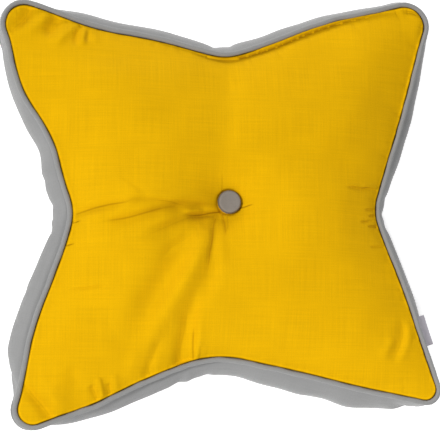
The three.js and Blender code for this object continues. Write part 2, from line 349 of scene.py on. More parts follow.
def star_sheet(ring, spacing, fine_spacing=None, fine_radius=0.0):
    """A flat net of near-even triangles inside the ring. Its first points are the ring's."""
    grid = triangle_grid(spacing, ring.min(0), ring.max(0))
    if fine_spacing:
        fine = triangle_grid(fine_spacing, MIDDLE - fine_radius, MIDDLE + fine_radius)
        near = from_middle(fine) < fine_radius
        far = from_middle(grid) > fine_radius + spacing * 0.4
        grid = np.concatenate([grid[far], fine[near]])
    grid = grid[inside(grid, ring) & (nearest_station(grid, ring)[1] > 0.6 * spacing)]
    points = [Vector(p) for p in np.concatenate([ring, grid])]
    found = delaunay_2d_cdt(points, [], [list(range(len(ring)))], 1, 1e-9)
    back = np.argsort([olds[0] for olds in found[3]])
    plan = np.array([tuple(p) for p in found[0]])[back]
    tri = np.argsort(back)[np.array(found[2])]
    a, b, c = (plan[tri[:, k]] for k in range(3))
    upward = np.cross(b - a, c - a) > 0
    return plan, np.where(upward[:, None], tri, tri[:, ::-1]).tolist()


def edges_of(faces):
    tri = np.array(faces)
    sides = np.stack([tri, np.roll(tri, -1, axis=1)], 2).reshape(-1, 2)
    return np.unique(np.sort(sides, axis=1), axis=0)


def relaxed(values, edges, fixed, rounds):
    """Values at the points of a net, each drawn to the mean of its neighbours, round after round."""
    values = values.copy()
    count = len(values)
    ends = np.concatenate([edges[:, 0], edges[:, 1]])
    others = np.concatenate([edges[:, 1], edges[:, 0]])
    degree = np.bincount(ends, minlength=count)
    for _ in range(rounds):
        mean = np.bincount(ends, weights=values[others], minlength=count) / degree
        values = np.where(fixed, values, lerp(values, mean, 0.8))
    return values


# Cloth simulation


def add_cloth(obj, rest, pinned, pressure, tension, bending):
    """Gives the object a Cloth modifier whose threads have the lengths of the rest points."""
    obj.shape_key_add(name="Basis")
    key = obj.shape_key_add(name="rest")
    key.data.foreach_set("co", np.asarray(rest, np.float32).ravel())
    key.value = 0.0
    group = obj.vertex_groups.new(name="pinned")
    group.add([int(i) for i in np.flatnonzero(pinned)], 1.0, "REPLACE")
    cloth = obj.modifiers.new("Cloth", "CLOTH")
    settings = cloth.settings
    for name, value in CLOTH_SETTINGS.items():
        setattr(settings, name, value)
    settings.tension_stiffness = tension
    settings.compression_stiffness = tension
    settings.shear_stiffness = tension / 4
    settings.bending_stiffness = bending
    settings.uniform_pressure_force = pressure
    settings.effector_weights.gravity = 0.0
    settings.rest_shape_key = key
    cloth.collision_settings.use_collision = False
    cloth.point_cache.frame_start = 1
    cloth.point_cache.frame_end = SIM_FRAMES


def run_cloths(objects):
    """Runs every Cloth modifier for SIM_FRAMES frames and leaves the plain, simulated meshes."""
    scene = bpy.context.scene
    scene.frame_start, scene.frame_end = 1, SIM_FRAMES
    for step in range(1, SIM_FRAMES + 1):
        scene.frame_set(step)
    for obj in objects:
        final_mesh(obj)
    scene.frame_set(1)


def tube(name, centre, side, sides, radius):
    """A closed tube round a closed line. side points away from the star, and radius has a value per point."""
    angle = 2 * math.pi * np.arange(sides) / sides
    spoke = np.zeros((len(centre), sides, 3))
    spoke[..., :2] = side[:, None] * np.cos(angle)[None, :, None]
    spoke[..., 2] = np.sin(angle)
    points = (centre[:, None] + spoke * radius[..., None]).reshape(-1, 3)
    faces = []
    for i in range(len(centre)):
        after = (i + 1) % len(centre)
        for k in range(sides):
            turn = (k + 1) % sides
            faces.append((i * sides + k, after * sides + k, after * sides + turn, i * sides + turn))
    return new_object(name, points, faces)


def summed(which, rows, count):
    """The rows added up by the number that each has in which."""
    return np.stack([np.bincount(which, weights=column, minlength=count) for column in rows.T], 1)


def subdivided(faces, count):
    """The net with each triangle cut in four: its faces, a function that carries values over, and the new
    points on its rim by the ends of their edges. With smooth on, values are rounded as Loop's rules say."""
    tri = np.array(faces)
    sides = np.concatenate([tri[:, [0, 1]], tri[:, [1, 2]], tri[:, [2, 0]]])
    across = np.concatenate([tri[:, 2], tri[:, 0], tri[:, 1]])
    pairs, which = np.unique(np.sort(sides, axis=1), axis=0, return_inverse=True)
    which = which.ravel()
    uses = np.bincount(which, minlength=len(pairs))
    ab, bc, ca = (count + which[k * len(tri) : (k + 1) * len(tri)] for k in range(3))
    a, b, c = tri.T
    parts = ((a, ab, ca), (ab, b, bc), (ca, bc, c), (ab, bc, ca))
    fine = np.concatenate([np.stack(part, 1) for part in parts])
    ends = np.concatenate([pairs[:, 0], pairs[:, 1]])
    others = np.concatenate([pairs[:, 1], pairs[:, 0]])
    degree = np.bincount(ends, minlength=count)
    rim = np.zeros(count, bool)
    rim[pairs[uses == 1].ravel()] = True
    pull = 3 / (8 * np.maximum(degree, 3))

    def carry(values, smooth=True):
        flat = np.reshape(values, (count, -1))
        middle = (flat[pairs[:, 0]] + flat[pairs[:, 1]]) / 2
        if smooth:
            rounded = 0.75 * middle + summed(which, flat[across], len(pairs)) / 8
            middle = np.where((uses == 2)[:, None], rounded, middle)
            eased = flat * (1 - degree * pull)[:, None] + summed(ends, flat[others], count) * pull[:, None]
            flat = np.where(rim[:, None], flat, eased)
        return np.concatenate([flat, middle])

    middles = {tuple(pairs[k].tolist()): count + k for k in np.flatnonzero(uses == 1).tolist()}
    return fine, carry, middles


def refined(tri, count, marked):
    """The net with its marked triangles cut in four and their neighbours cut to fit, and the cut edges."""
    sides = np.sort(np.stack([tri, np.roll(tri, -1, axis=1)], 2), axis=2)
    pairs, which = np.unique(sides.reshape(-1, 2), axis=0, return_inverse=True)
    which = which.reshape(-1, 3)
    cut = np.zeros(len(pairs), bool)
    cut[which[marked].ravel()] = True
    middle = np.full(len(pairs), -1)
    middle[cut] = count + np.arange(cut.sum())
    total = cut[which].sum(1)
    out = [tri[total == 0]]
    for many in (1, 2, 3):
        rows = np.flatnonzero(total == many)
        is_cut = cut[which[rows]]
        turn = (is_cut & ~np.roll(is_cut, 1, axis=1)).argmax(1) if many < 3 else np.zeros(len(rows), int)
        order = (turn[:, None] + np.arange(3)) % 3
        a, b, c = np.take_along_axis(tri[rows], order, 1).T
        ab, bc, ca = np.take_along_axis(middle[which[rows]], order, 1).T
        if many == 1:
            parts = ((a, ab, c), (ab, b, c))
        elif many == 2:
            parts = ((ab, b, bc), (a, ab, bc), (a, bc, c))
        else:
            parts = ((a, ab, ca), (ab, b, bc), (ca, bc, c), (ab, bc, ca))
        out += [np.stack(part, 1) for part in parts]
    return np.concatenate(out), pairs[cut]


def normals_of(points, faces):
    tri = np.array(faces)
    a, b, c = (points[tri[:, k]] for k in range(3))
    face = np.cross(b - a, c - a)
    return unit(sum(summed(tri[:, k], face, len(points)) for k in range(3)))


def paint_uv(obj, coordinates):
    """The cloth's own coordinates in metres, one pair a point, as a UV map that a weave can follow."""
    layer = obj.data.uv_layers.new(name="cloth")
    corner = np.zeros(len(obj.data.loops), int)
    obj.data.loops.foreach_get("vertex_index", corner)
    layer.data.foreach_set("uv", np.asarray(coordinates, np.float32)[corner].ravel())


def paint(obj, name, values):
    layer = obj.data.attributes.new(name, "FLOAT", "POINT")
    layer.data.foreach_set("value", np.asarray(values, np.float32))


def line_noise(random, along, length, low, high, terms=14):
    """An even, seeded wave round a closed line, of spread 1, with low to high swings round it."""
    total = np.zeros(len(along))
    for _ in range(terms):
        swings = random.integers(low, high + 1)
        total += np.sin(2 * math.pi * swings * along / length + random.uniform(0, 2 * math.pi))
    return total / math.sqrt(terms / 2)


def plan_noise(random, plan, shortest, longest, terms=16):
    total = np.zeros(len(plan))
    for _ in range(terms):
        angle = random.uniform(0, 2 * math.pi)
        pace = 2 * math.pi / random.uniform(shortest, longest)
        phase = random.uniform(0, 2 * math.pi)
        total += np.sin(pace * (plan[:, 0] * math.cos(angle) + plan[:, 1] * math.sin(angle)) + phase)
    return total / math.sqrt(terms / 2)


# The cut pieces, before and after the simulation

LINE = star_line(SEAM_SPACING)
COUNT = len(LINE["place"])
HIGH = HIGH_SEAM + LINE["spread"] / 2
LOW = LOW_SEAM - LINE["spread"] / 2


def cast(obj, plan, down=True):
    """Height of the object's upper face, or of its lower face, over each point of the plan."""
    tree = BVHTree.FromObject(obj, bpy.context.evaluated_depsgraph_get())
    start, way = (1.0, -1.0) if down else (-1.0, 1.0)
    heights = np.full(len(plan), np.nan)
    for i, (x, y) in enumerate(plan):
        hit = tree.ray_cast(Vector((x, y, start)), Vector((0, 0, way)))[0]
        if hit is not None:
            heights[i] = hit.z
    return heights


def tuft(distance):
    share = np.clip(1 - (distance - SEAT_RADIUS) / (TUFT_RADIUS - SEAT_RADIUS), 0, 1)
    return TUFT_DEPTH * share**TUFT_POWER


def stretched(points, slack):
    """The points spread out from the star's middle in plan, as a cloth cut that much too large."""
    wide = points.copy()
    wide[:, :2] = MIDDLE + (points[:, :2] - MIDDLE) * slack
    return wide


def cut_panel():
    plan, faces = star_sheet(LINE["place"], PANEL_SPACING, PANEL_FINE_SPACING, PANEL_FINE_RADIUS)
    edge = np.arange(len(plan)) < COUNT
    height = cast(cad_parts["top_panel"], plan)
    height = np.where(np.isnan(height), HIGH_SEAM, height)
    height[:COUNT] = HIGH - PANEL_EDGE_DROP
    seat = from_middle(plan) < SEAT_RADIUS
    height[seat] = BUTTON_LOW.z - CLEARANCE
    edges = edges_of(faces)
    whole = height + tuft(from_middle(plan))
    height = relaxed(height, edges, edge | seat, 12)
    whole = relaxed(whole, edges, edge, 12)
    start = np.column_stack([plan, height])
    rest = stretched(np.column_stack([plan, whole]), PANEL_SLACK)
    return {"faces": faces, "start": start, "rest": rest, "pinned": edge | seat}


def cut_band():
    rows, rest = [], []
    for share in np.linspace(0, 1, BAND_ROWS):
        bulge = LINE["swell"] * math.sin(math.pi * share**BAND_SKEW) ** BAND_ROUNDNESS
        rows.append(seam_ring(LINE, BAND_EDGE + bulge, lerp(LOW + BAND_START, HIGH - BAND_START, share)))
        rest.append(seam_ring(LINE, BAND_EDGE, LOW + BAND_START + BAND_HEIGHT * share))
    pinned = np.zeros(BAND_ROWS * COUNT, bool)
    pinned[:COUNT] = True
    pinned[-COUNT:] = True
    faces = [quad for k in range(BAND_ROWS - 1) for quad in strip(k * COUNT, (k + 1) * COUNT, COUNT)]
    rest = stretched(np.concatenate(rest), BAND_SLACK)
    return {"faces": faces, "start": np.concatenate(rows), "rest": rest, "pinned": pinned}


def cut_base():
    ring = seam_ring(LINE, BASE_EDGE, 0)[:, :2]
    plan, faces = star_sheet(ring, BASE_SPACING)
    edge = np.arange(len(plan)) < COUNT
    height = cast(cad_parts["filled_body"], plan, down=False)
    height = np.where(np.isnan(height), LOW_SEAM, height)
    height[:COUNT] = LOW - BASE_DROP
    seat = from_middle(plan) < BACK_HOLLOW_SEAT
    height[seat] = BACK_HOLLOW_DEPTH
    height = relaxed(height, edges_of(faces), edge | seat, 4)
    crown = cast(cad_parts["top_panel"], plan)
    crown = np.where(np.isnan(crown), HIGH_SEAM, crown) + tuft(from_middle(plan)) - HIGH_SEAM
    rest = np.column_stack([plan, LOW_SEAM - BASE_BELLY * crown])
    rest[:COUNT, 2] = LOW - BASE_DROP
    start = np.column_stack([plan, height])
    turned = [f[::-1] for f in faces]
    return {"faces": turned, "start": start, "rest": stretched(rest, BASE_SLACK), "pinned": edge | seat}


def capped(points, start, most):
    """The points, none further than most from where it started."""
    move = points - start
    size = np.linalg.norm(move, axis=1, keepdims=True)
    return start + move * np.minimum(1, most / np.maximum(size, 1e-9))


CUTS = {"panel": cut_panel(), "band": cut_band(), "base": cut_base()}


def simulate():
    made = {}
    for name, cut in CUTS.items():
        obj = new_object("raw_" + name, cut["start"], cut["faces"])
        add_cloth(obj, cut["rest"], cut["pinned"], **CLOTH_VALUES[name])
        made[name] = obj
    run_cloths(made.values())
    for name, obj in made.items():
        cut = CUTS[name]
        cut["points"] = capped(points_of(obj.data), cut["start"], CAPS[name])
        bpy.data.objects.remove(obj)


simulate()


# Creases of the panel. A row is a path in millimetres from the middle of the button, then the height of its
# left side and how wide that is, the same for its right side, the share of it left at the two ends, and how
# much painted shade darkens the bottom of the crease.
GROOVE = (
    (-62, 221), (-42, 214), (-26, 207), (-4, 205), (16, 207), (36, 213), (62, 222.5), (86, 233), (111, 245),
    (146, 259), (174, 268.5), (206, 276.5), (228, 282), (244, 283),
)
LEFT_CREASE = ((-209, -21), (-189, -15), (-167, -10), (-145, -7), (-135, -2))
UPPER_DIP = ((1, 196), (-1, 172), (-3, 141), (-6, 112), (-11, 83), (-12, 49))
CREASES = (
    (LEFT_CREASE, -4, 6, -4, 8, 0.7, 0.1, 0.4),
    (((-205, -30), (-188, -26), (-168, -21)), 2.2, 6, 2.4, 7, 0.4, 0, 0),
    (((-130, 14), (-137, 1), (-130, -12)), 3, 14, 3, 22, 0, 0, 0),
    (((-176, -33), (-167, -32), (-144, -28), (-123, -22), (-100, -15), (-78, -10)),
     -5, 5, -5, 12, 0.1, 0.3, 0.35),
    (((-132, 5), (-110, 1), (-91, -1), (-72, -1), (-50, 2)), 3, 9, 3, 5, 0, 0, 0),
    (((-20, -9), (-40, -8), (-60, -8), (-80, -11), (-100, -16)), -7, 14, -7, 7, 0.3, 0, 0),
    (((-12, -13), (-24, -15), (-36, -18), (-47, -20), (-58, -21), (-68, -20)), -3.4, 5, -3.4, 3, 1, 0, 0.6),
    (((-112, -4), (-88, -5), (-66, -8)), -0.8, 2.5, 1.2, 3, 0.2, 0.2, 0.2),
    (((-34, -13), (-52, -15), (-68, -16)), 2.6, 3, 2.6, 4, 0, 0, 0),
    (((-16, -20), (-36, -22), (-56, -24), (-81, -35), (-110, -49), (-129, -59)), -7, 26, -7, 8, 0.6, 0, 0.1),
    (((-48, -41), (-63, -54), (-82, -66), (-100, -84)), -2.5, 5, -2.5, 8, 0.3, 0, 0.06),
    (((-17, -56), (-20, -76), (-25, -96), (-33, -115), (-42, -133), (-51, -155), (-54, -177), (-60, -202),
      (-60, -222)), -6.6, 11, -6.6, 14, 0.1, 0.9, 0),
    (((-19, -24), (-21, -40), (-23, -56), (-25, -72), (-29, -92)), -2.4, 7, -2.4, 7, 0.8, 0, 0),
    (((-19, -24), (-23, -36), (-26, -54), (-30, -72), (-33, -95), (-36, -112)),
     0.4, 2.5, -1.2, 4, 0.5, 0, 0.55),
    (((-4, -26), (-2, -50), (-2, -80), (-6, -110)), -4, 26, -4, 11, 0.8, 0, 0),
    (((-60, -148), (-62, -175), (-66, -200), (-67, -220)), -2.6, 7, -2.6, 9, 0, 0.8, 0.1),
    (((-16, 24), (2, 28), (20, 22), (28, 6), (26, -14), (12, -26)), 3, 24, 3, 8, 0.2, 0.3, 0),
    (((2, -36), (30, -26)), 5, 26, 5, 26, 1, 1, 0),
    (((-50, -172), (-50, -197), (-48, -217)), -0.8, 4, -0.8, 2.5, 0, 1, 0.35),
    (((-36, -108), (-42, -140), (-43, -180), (-42, -212)), 2.4, 7, 2.4, 6, 0, 0.8, 0),
    (((-39, -197), (-39, -215)), -1, 3, -1, 3, 0, 1, 0.08),
    (((-36, -45), (-50, -80), (-66, -112), (-84, -146), (-101, -178), (-112, -208)),
     4, 12, 4, 13, 0.6, 0.3, 0),
    (((-36, -38), (-56, -60), (-80, -96), (-108, -138), (-128, -178), (-140, -199)),
     -11, 16, -11, 21, 0.2, 0.3, 0),
    (((-178, 60), (-174, 10), (-176, -50), (-190, -110)), 6, 56, 6, 26, 0.2, 0.2, 0),
    (((-165, 200), (-162, 140), (-150, 80)), 9, 84, 9, 54, 0.4, 0.3, 0),
    (((282, 236), (258, 180), (234, 110)), -2.4, 18, -2.4, 45, 0.6, 0.2, 0),
    (((210, -60), (227, -110), (245, -150)), -2.2, 14, -2.2, 34, 0.2, 0.4, 0),
    (((-94, -184), (-102, -205), (-109, -224), (-111, -236)), -3, 6, -3, 8, 0, 1, 0.06),
    (((-127, -202), (-135, -237)), 1.4, 8, 1.4, 8, 0, 0.5, 0),
    (((-8, -17), (-7, -28), (-7, -43), (-8, -52)), 0.3, 3, -1, 2, 1, 0, 0.45),
    (((-2, -20), (-3, -32), (-4, -45)), 0.2, 3, -0.6, 2, 1, 0, 0.25),
    (((16, -8), (24, -6), (33, -3)), -1, 2.5, 0.6, 3, 1, 0, 0.35),
    (((14, 14), (30, 28), (58, 50), (88, 74)), 1.8, 12, 1.8, 14, 0.4, 0, 0),
    (((-10, 14), (-11, 28), (-12, 40)), 0.3, 4, -0.2, 3, 1, 0, 0.06),
    (UPPER_DIP, -4, 34, -4, 64, 0.5, 0.3, 0),
    (UPPER_DIP, -2.2, 15, -2.2, 26, 0.6, 0.2, 0),
    (UPPER_DIP[:3], -0.7, 6, -0.7, 9, 0.8, 0, 0),
    (((139, 66), (168, 140), (202, 210)), 4, 56, 4, 30, 0, 0.4, 0),
    (((161, 25), (173, 25), (187, 24), (198, 26), (212, 25)), 1.2, 4, -2.4, 4, 0, 0.5, 0.3),
    (((198, -13), (213, -12)), 0.6, 3, -1.8, 2.5, 0, 1, 0.3),
    (((183, -23), (194, -22), (204, -20)), 0.6, 3, -1.8, 2.5, 0, 0.4, 0.3),
    (((196, -28), (215, -27)), 0.8, 3, -2.2, 2.5, 0, 1, 0.35),
    (((191, -5), (211, -3)), 0.6, 3, -1.6, 2.5, 0, 1, 0.25),
    (((198, -57), (221, -56)), 0.6, 4, -1.4, 4, 0, 0.8, 0.15),
    (((-205, -31), (-214, -33)), 0.5, 2.5, -1.6, 2.5, 0.2, 1, 0.4),
    (((-213, -62), (-223, -65)), 0.5, 2.5, -1.6, 2.5, 0.2, 1, 0.4),
    (((-219, -124), (-198, -122), (-165, -118)), 0.4, 4, -1, 4, 0.2, 0, 0.08),
    (((-272, -256), (-262, -268), (-252, -279), (-242, -292)), -6, 6, -6, 9, 0.5, 0.7, 0.16),
    (((-248, -250), (-236, -270), (-228, -288)), 5, 16, 5, 7, 0.3, 0.6, 0),
    (((-220, -228), (-209, -246), (-200, -262)), -2.4, 10, -2.4, 14, 0, 0.3, 0),
    (((-165, -248), (-163, -256), (-161, -264)), -2, 3.5, -2, 4, 0, 1, 0.16),
    (((-188, -250), (-183, -260), (-179, -269)), -2.6, 4, -2.6, 5, 0, 1, 0.12),
    (((-178, -240), (-172, -266)), 3, 4, 3, 5, 0, 0.9, 0),
    (((283, 290), (276, 262), (266, 240)), 3.5, 8, 3.5, 16, 0.8, 0, 0),
    (((-158, -236), (-153, -256)), 2, 6, 2, 5, 0, 0.8, 0),
    (((-253, 260), (-262, 246), (-276, 233), (-292, 225)), 4.6, 8, 4.6, 10, 0.5, 0.3, 0),
    (((-280, 262), (-286, 248), (-300, 234)), -5.6, 6, -5.6, 9, 0.8, 0.6, 0.12),
    (((-235, 254), (-246, 240), (-256, 220)), -5, 6, -5, 8, 0.6, 0, 0.06),
    (((-213, 242), (-227, 231), (-238, 218), (-248, 203)), 4.4, 7, 4.4, 9, 0.5, 0, 0),
    (((-208, 241), (-213, 225), (-217, 207)), -3, 4, -3, 5, 0.8, 0, 0.06),
    (((-202, 238), (-205, 225), (-206, 208)), 4, 5, 4, 5, 0.6, 0, 0),
    (((-198, 232), (-199, 216)), -1.8, 4, -1.8, 5, 0.6, 0, 0),
    (((-188, 231), (-187, 212)), 1.4, 5, 1.4, 5, 0.6, 0, 0),
    (GROOVE, -4.4, 3.5, -4.4, 6, 0.1, 0.2, 0.25),
    (((158, 60), (150, -20), (165, -80)), 4, 26, 4, 42, 0, 0, 0),
    (((258, 288), (270, 287), (282, 281)), -1.6, 3, -1.6, 3, 0.5, 0.5, 0.3),
    (((259, 285), (272, 283), (281, 279)), -1, 2.5, -1, 2.5, 0.5, 0.5, 0.2),
    (((241, -156), (247, -175), (243, -192), (235, -208), (226, -225)), -3.4, 6, -3.4, 13, 0.1, 0, 0.06),
    (((256, -158), (254, -186), (246, -205), (234, -226)), 1.6, 7, 1.6, 6, 0.1, 0, 0),
    (((234, -180), (228, -193), (217, -209), (211, -218)), 2, 6, 2, 7, 0, 0, 0),
)
# The stretch of the upper right seam, in millimetres from the button, where the painted shade line along the
# seam mostly leaves off
OPEN_SEAM = (30, 60, 225, 250)
OPEN_SEAM_ABOVE = 195
SHARP_WIDTH = 4.5
SEAM_STEPS = (0, 0.25, 0.5, 0.75)
# Half the width of the painted shade drawn along a crease's bottom
SHADE_WIDTH = 1.1 * MM

# Painted shade in deep places that little light reaches: a path, how much darker, half the width, and the
# share at the ends
DEEP_PLACES = (
    (LEFT_CREASE, 0.12, 3.5, 0.6, 0.2),
    (((-174, -33), (-144, -28), (-123, -22), (-100, -15)), 0.12, 3, 0.2, 1),
    (((-123, -22), (-100, -15), (-76, -10), (-57, -8), (-35, -5), (-20, -5)), 0.25, 5, 0.2, 0.8),
    (((-16, -20), (-36, -22), (-56, -24), (-81, -35), (-110, -49)), 0.14, 5, 0.8, 0),
    (((-62, 222), (-26, 208), (-4, 207), (16, 208), (36, 213), (62, 222.5), (86, 233), (111, 245), (146, 259),
      (174, 268.5), (206, 276.5), (244, 283)), 0.5, 3, 0.2, 0.1),
    (((-12, -13), (-24, -16), (-36, -19), (-50, -21)), 0.2, 3.5, 1, 0),
    (((-147, -6), (-132, -4), (-116, -4), (-98, -6)), 0.14, 4.5, 0.2, 0.2),
    (((-274, 262), (-282, 250), (-291, 240)), 0.12, 8, 0.6, 0.6),
    (((-19, -24), (-23, -36), (-26, -54), (-30, -72), (-33, -95)), 0.1, 3, 0.8, 0),
)
# A ring of painted shade on the panel round the button's edge: how dark, and its half width
BUTTON_SHADE = 0.6
BUTTON_SHADE_WIDTH = 2.2 * MM
REFINED = (4 * MM, 2.2 * MM)
CREASE_EDGE = 1.2 * MM


def smooth_path(path, steps=10):
    """A curve through the points of the path."""
    known = np.array(path, float)
    padded = np.concatenate([[2 * known[0] - known[1]], known, [2 * known[-1] - known[-2]]])
    out = []
    for i in range(1, len(padded) - 2):
        a, b, c, d = padded[i - 1 : i + 3]
        t = np.arange(steps)[:, None] / steps
        bend = (2 * a - 5 * b + 4 * c - d) * t**2 + (3 * b - a - 3 * c + d) * t**3
        out.append((2 * b + (c - a) * t + bend) / 2)
    return np.concatenate([*out, known[-1:]])


def from_path(points, path):
    """How far each point is from the path, how far aside of it (left is positive), and where along it."""
    run = np.concatenate([[0], np.cumsum(np.linalg.norm(np.diff(path, axis=0), axis=1))])
    best = np.full(len(points), np.inf)
    aside = np.zeros(len(points))
    share = np.zeros(len(points))
    for a, b, at, until in zip(path[:-1], path[1:], run[:-1], run[1:]):
        ahead = (b - a) / (until - at)
        offset = points - a
        along = np.clip(offset @ ahead, 0, until - at)
        gap = np.linalg.norm(offset - along[:, None] * ahead, axis=1)
        closer = gap < best
        best = np.where(closer, gap, best)
        aside = np.where(closer, ahead[0] * offset[:, 1] - ahead[1] * offset[:, 0], aside)
        share = np.where(closer, (at + along) / run[-1], share)
    return best, aside, share


def near_curve(plan, path, reach, steps=10):
    """The curve through the path's points, in metres, and which points of the plan its box and reach hold."""
    curve = smooth_path(path, steps) * MM + MIDDLE
    return curve, ((plan > curve.min(0) - reach) & (plan < curve.max(0) + reach)).all(1)


def sharp_gap(plan):
    """How far each point is from the nearest narrow crease."""
    least = np.full(len(plan), 1.0)
    for path, _, left_width, _, right_width, _, _, shade in CREASES:
        if min(left_width, right_width) <= SHARP_WIDTH or shade > 0:
            curve, near = near_curve(plan, path, REFINED[0], 4)
            least[near] = np.minimum(least[near], from_path(plan[near], curve)[0])
    return least


def crease_heights(plan):
    """The height that the creases add at each point, and the painted shade of the creases, the deep places
    and the ring round the button.
    """
    heights = np.zeros(len(plan))
    shades = np.zeros(len(plan))
    for path, left, left_width, right, right_width, first, last, shade in CREASES:
        curve, near = near_curve(plan, path, 2.6 * max(left_width, right_width) * MM)
        gap, aside, share = from_path(plan[near], curve)
        on_left = left * hump(gap, left_width * MM)
        on_right = right * hump(gap, right_width * MM)
        height = lerp(on_right, on_left, smoothstep(aside / np.maximum(gap, CREASE_EDGE), -1, 1))
        start = lerp(first, 1, smoothstep(share, 0, 0.3))
        end = lerp(last, 1, smoothstep(1 - share, 0, 0.4))
        heights[near] += height * MM * start * end
        shades[near] = np.maximum(shades[near], shade * hump(gap, SHADE_WIDTH) * start * end)
    for path, dark, width, first, last in DEEP_PLACES:
        curve, near = near_curve(plan, path, 3 * width * MM)
        gap, _, share = from_path(plan[near], curve)
        ends = lerp(first, 1, smoothstep(share, 0, 0.2)) * lerp(last, 1, smoothstep(1 - share, 0, 0.3))
        shades[near] = 1 - (1 - shades[near]) * (1 - dark * ends * hump(gap, width * MM))
    # Painted shade in a ring round the button
    ring = BUTTON_SHADE * hump(from_middle(plan) - BUTTON_RADIUS, BUTTON_SHADE_WIDTH)
    return heights, 1 - (1 - shades) * (1 - ring)


def pucker_heights(random, along, away, length, spacing, depth, reach):
    """Small gathers that run off a seam: along is the place on the seam, away the distance from it."""
    heights = np.zeros(len(along))
    for k in range(int(length / spacing)):
        at = (k + random.uniform(-0.4, 0.4)) * spacing
        deep = depth * random.uniform(0.1, 1.0) ** 2
        wide = random.uniform(2.2, 5.0) * MM
        far = reach * random.uniform(0.4, 1.0)
        slant = random.uniform(-0.5, 0.5)
        offset = wrapped(along - at - slant * away, length)
        heights -= deep * np.exp(-((offset / wide) ** 2) - (away / far) ** 2)
    return heights


def groove_gathers(plan):
    """Short gathers that hang from the groove along the upper right side."""
    curve = smooth_path(GROOVE) * MM + MIDDLE
    gap, aside, share = from_path(plan, curve)
    length = np.linalg.norm(np.diff(curve, axis=0), axis=1).sum()
    random = np.random.default_rng(3)
    heights = pucker_heights(random, share * length, gap, length, *STRIP_GATHERS)
    ends = smoothstep(share, 0.12, 0.3) * smoothstep(1 - share, 0, 0.1)
    return heights * smoothstep(-aside, 1.5 * MM, 8 * MM) * ends


def finished_panel():
    cut = CUTS["panel"]
    count = len(cut["points"])
    fine, carry, middles = subdivided(cut["faces"], count)
    points = carry(cut["points"])
    flat = carry(cut["rest"][:, :2], smooth=False)
    seam = np.concatenate([lerp(LINE["place"], np.roll(LINE["place"], -1, 0), t) for t in SEAM_STEPS])
    far_in = nearest_station(points[:, :2], seam)[1] > 1 * MM
    for reach in REFINED:
        before = len(points)
        marked = (sharp_gap(points[:, :2]) < reach)[fine].any(1) & far_in[fine].all(1)
        fine, halved = refined(fine, before, marked)
        points, flat, far_in = (np.concatenate([v, (v[halved[:, 0]] + v[halved[:, 1]]) / 2])
                                for v in (points, flat, far_in.astype(float)))
        far_in = far_in > 0.9
        calm = np.ones(len(points), bool)
        calm[before:] = False
        calm[halved.ravel()] = False
        points[:, 2] = relaxed(points[:, 2], edges_of(fine), calm, 2)
    plan = points[:, :2].copy()
    station, gap = nearest_station(plan, seam)
    station %= COUNT
    random = np.random.default_rng(7)
    free = smoothstep(gap, 0, 4 * MM)
    seat = smoothstep(from_middle(plan), SEAT_RADIUS - 4 * MM, SEAT_RADIUS)
    lumps = plan_noise(random, plan, *LUMP_LENGTHS) * LUMP_HEIGHT * smoothstep(gap, 0, 60 * MM)
    puckers = pucker_heights(random, LINE["along"][station], gap, LINE["length"], *PANEL_GATHERS)
    creases, shades = crease_heights(plan)
    points[:, 2] += free * seat * (creases + lumps + puckers + groove_gathers(plan))
    inner = points[:count] - normals_of(points, fine)[:count] * PANEL_THICKNESS
    first_inner = len(points)
    faces = fine.tolist()
    faces += [[v + first_inner for v in face[::-1]] for face in cut["faces"]]
    for i in range(COUNT):
        j = (i + 1) % COUNT
        m = middles[(min(i, j), max(i, j))]
        a, b = first_inner + i, first_inner + j
        faces += [[m, i, a], [m, a, b], [j, m, b]]
    obj = new_object("yellow_panel", np.concatenate([points, inner]), faces)
    paint_uv(obj, np.concatenate([flat, flat[:count]]))
    # The seam distance drives a painted shade line at the seam and a painted highlight rim beside it
    x, y = (plan - MIDDLE).T / MM
    low, full, until, high = OPEN_SEAM
    gap = gap + smoothstep(x, low, full) * (1 - smoothstep(x, until, high)) * (y > OPEN_SEAM_ABOVE) * 2 * MM
    paint(obj, "seam", np.concatenate([gap, gap[:count]]))
    # fold holds the painted shade of the creases, the deep places and the ring round the button
    paint(obj, "fold", np.concatenate([shades, shades[:count]]))
    shade_smooth(obj)
    return obj


panel = finished_panel()


# The grey body. A fold of the band has the place on the seam line that it is nearest to, in millimetres from
# the middle of the button, how far it leans over the height, its depth and width, and where its middle and
# half its reach are as shares of the height.
BAND_FOLDS = (
    (-222, 34, 10, 2.4, 7, 0.5, 0.5),
    (-213, 2, -6, 2.0, 6, 0.45, 0.45),
    (-212, -36, 14, -2.2, 5, 0.35, 0.3),
    (-216, -48, 16, 1.8, 5, 0.35, 0.3),
    (-76, -214, 20, 2.6, 8, 0.45, 0.5),
    (-64, -212, 16, -1.6, 6, 0.4, 0.4),
    (-28, -205, -6, 2.4, 7, 0.35, 0.4),
    (-18, -205, -6, -1.4, 6, 0.35, 0.35),
    (262, -262, -60, 3.6, 7, 0.45, 0.5),
    (248, -258, -50, -1.8, 9, 0.4, 0.5),
    (-290, -236, 60, 2.4, 6, 0.5, 0.5),
    (-284, -205, 40, -1.4, 9, 0.45, 0.5),
    (206, 24, 0, 2.0, 7, 0.5, 0.5),
    (202, -8, 4, 2.4, 6, 0.45, 0.5),
    (206, -38, 8, 1.8, 7, 0.5, 0.45),
    (-20, 202, 6, 2.0, 8, 0.5, 0.5),
    (14, 206, -8, 1.6, 7, 0.5, 0.45),
    (286, 250, 10, 1.6, 8, 0.4, 0.4),
    (-306, 240, -10, 1.6, 8, 0.4, 0.4),
)


